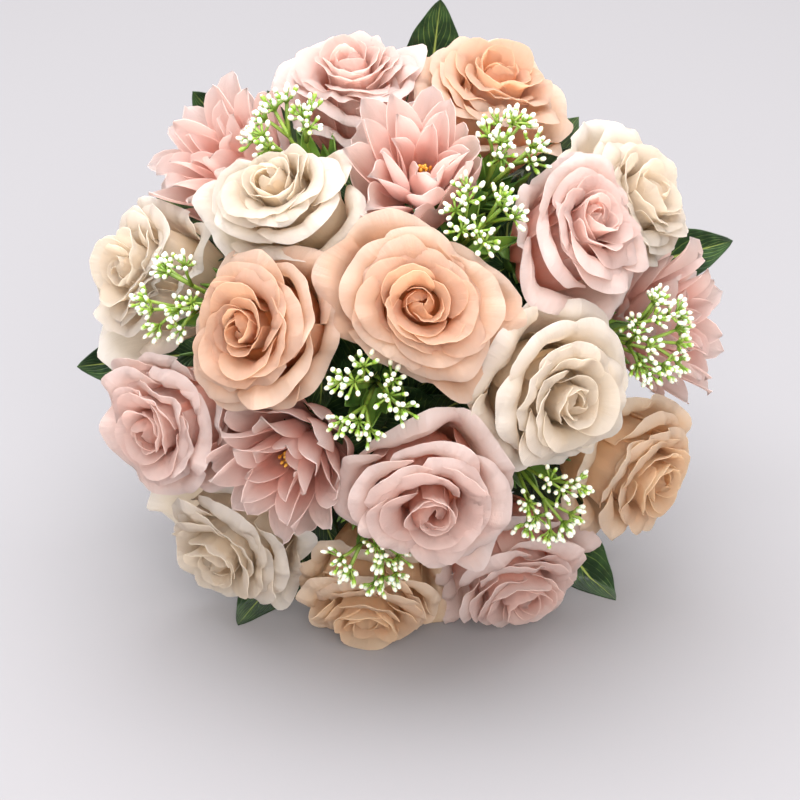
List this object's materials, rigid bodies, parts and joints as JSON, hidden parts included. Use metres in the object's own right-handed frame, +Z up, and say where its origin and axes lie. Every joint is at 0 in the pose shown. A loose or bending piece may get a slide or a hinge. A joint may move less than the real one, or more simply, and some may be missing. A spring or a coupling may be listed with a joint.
{
  "type": "bridal bouquet",
  "caption": "Round hand-tied bridal bouquet of silk roses and dahlias with white bud sprays and dark leaves, stems wrapped in satin ribbon, lying on its side.",
  "frame": {"origin": "centre of the footprint of the whole bouquet, on the surface that it lies on", "axes": "+Z up from that surface; the handle points along +Y and down to the surface, and the dome of flowers faces -Y, tipped 30 degrees up"},
  "size_m": [0.2659, 0.2839, 0.2147],
  "materials": {
    "peach": "matte silk cloth",
    "white": "matte silk cloth",
    "pink": "matte silk cloth",
    "cream": "matte silk cloth",
    "blush": "matte dyed silk cloth",
    "stamen": "matte moulded plastic",
    "green": "matte moulded plastic over wire",
    "leaf": "coated polyester cloth",
    "ribbon": "satin ribbon"
  },
  "bodies": {
    "root": {"dahlia_1": "blush", "dahlia_1_stamens": "stamen", "dahlia_2": "blush", "dahlia_2_stamens": "stamen", "dahlia_3": "blush", "dahlia_3_stamens": "stamen", "dahlia_4": "blush", "dahlia_4_stamens": "stamen", "leaf_spray_1": "leaf", "leaf_spray_2": "leaf", "leaf_spray_3": "leaf", "leaf_spray_4": "leaf", "leaf_spray_5": "leaf", "leaf_spray_6": "leaf", "ribbon_wrap": "ribbon", "rose_cream_1": "cream", "rose_cream_2": "cream", "rose_peach_1": "peach", "rose_peach_2": "peach", "rose_peach_3": "peach", "rose_pink_1": "pink", "rose_pink_2": "pink", "rose_pink_3": "pink", "rose_pink_4": "pink", "rose_pink_5": "pink", "rose_white_1": "white", "rose_white_2": "white", "rose_white_3": "white", "rose_white_4": "white", "rose_white_5": "white", "spray_1": "green", "spray_2": "green", "spray_3": "green", "spray_4": "green", "spray_5": "green", "spray_6": "green", "spray_7": "green", "spray_8": "green", "stem_of_dahlia_1": "green", "stem_of_dahlia_2": "green", "stem_of_dahlia_3": "green", "stem_of_dahlia_4": "green", "stem_of_rose_cream_1": "green", "stem_of_rose_cream_2": "green", "stem_of_rose_peach_1": "green", "stem_of_rose_peach_2": "green", "stem_of_rose_peach_3": "green", "stem_of_rose_pink_1": "green", "stem_of_rose_pink_2": "green", "stem_of_rose_pink_3": "green", "stem_of_rose_pink_4": "green", "stem_of_rose_pink_5": "green", "stem_of_rose_white_1": "green", "stem_of_rose_white_2": "green", "stem_of_rose_white_3": "green", "stem_of_rose_white_4": "green", "stem_of_rose_white_5": "green"}
  },
  "joints": []
}
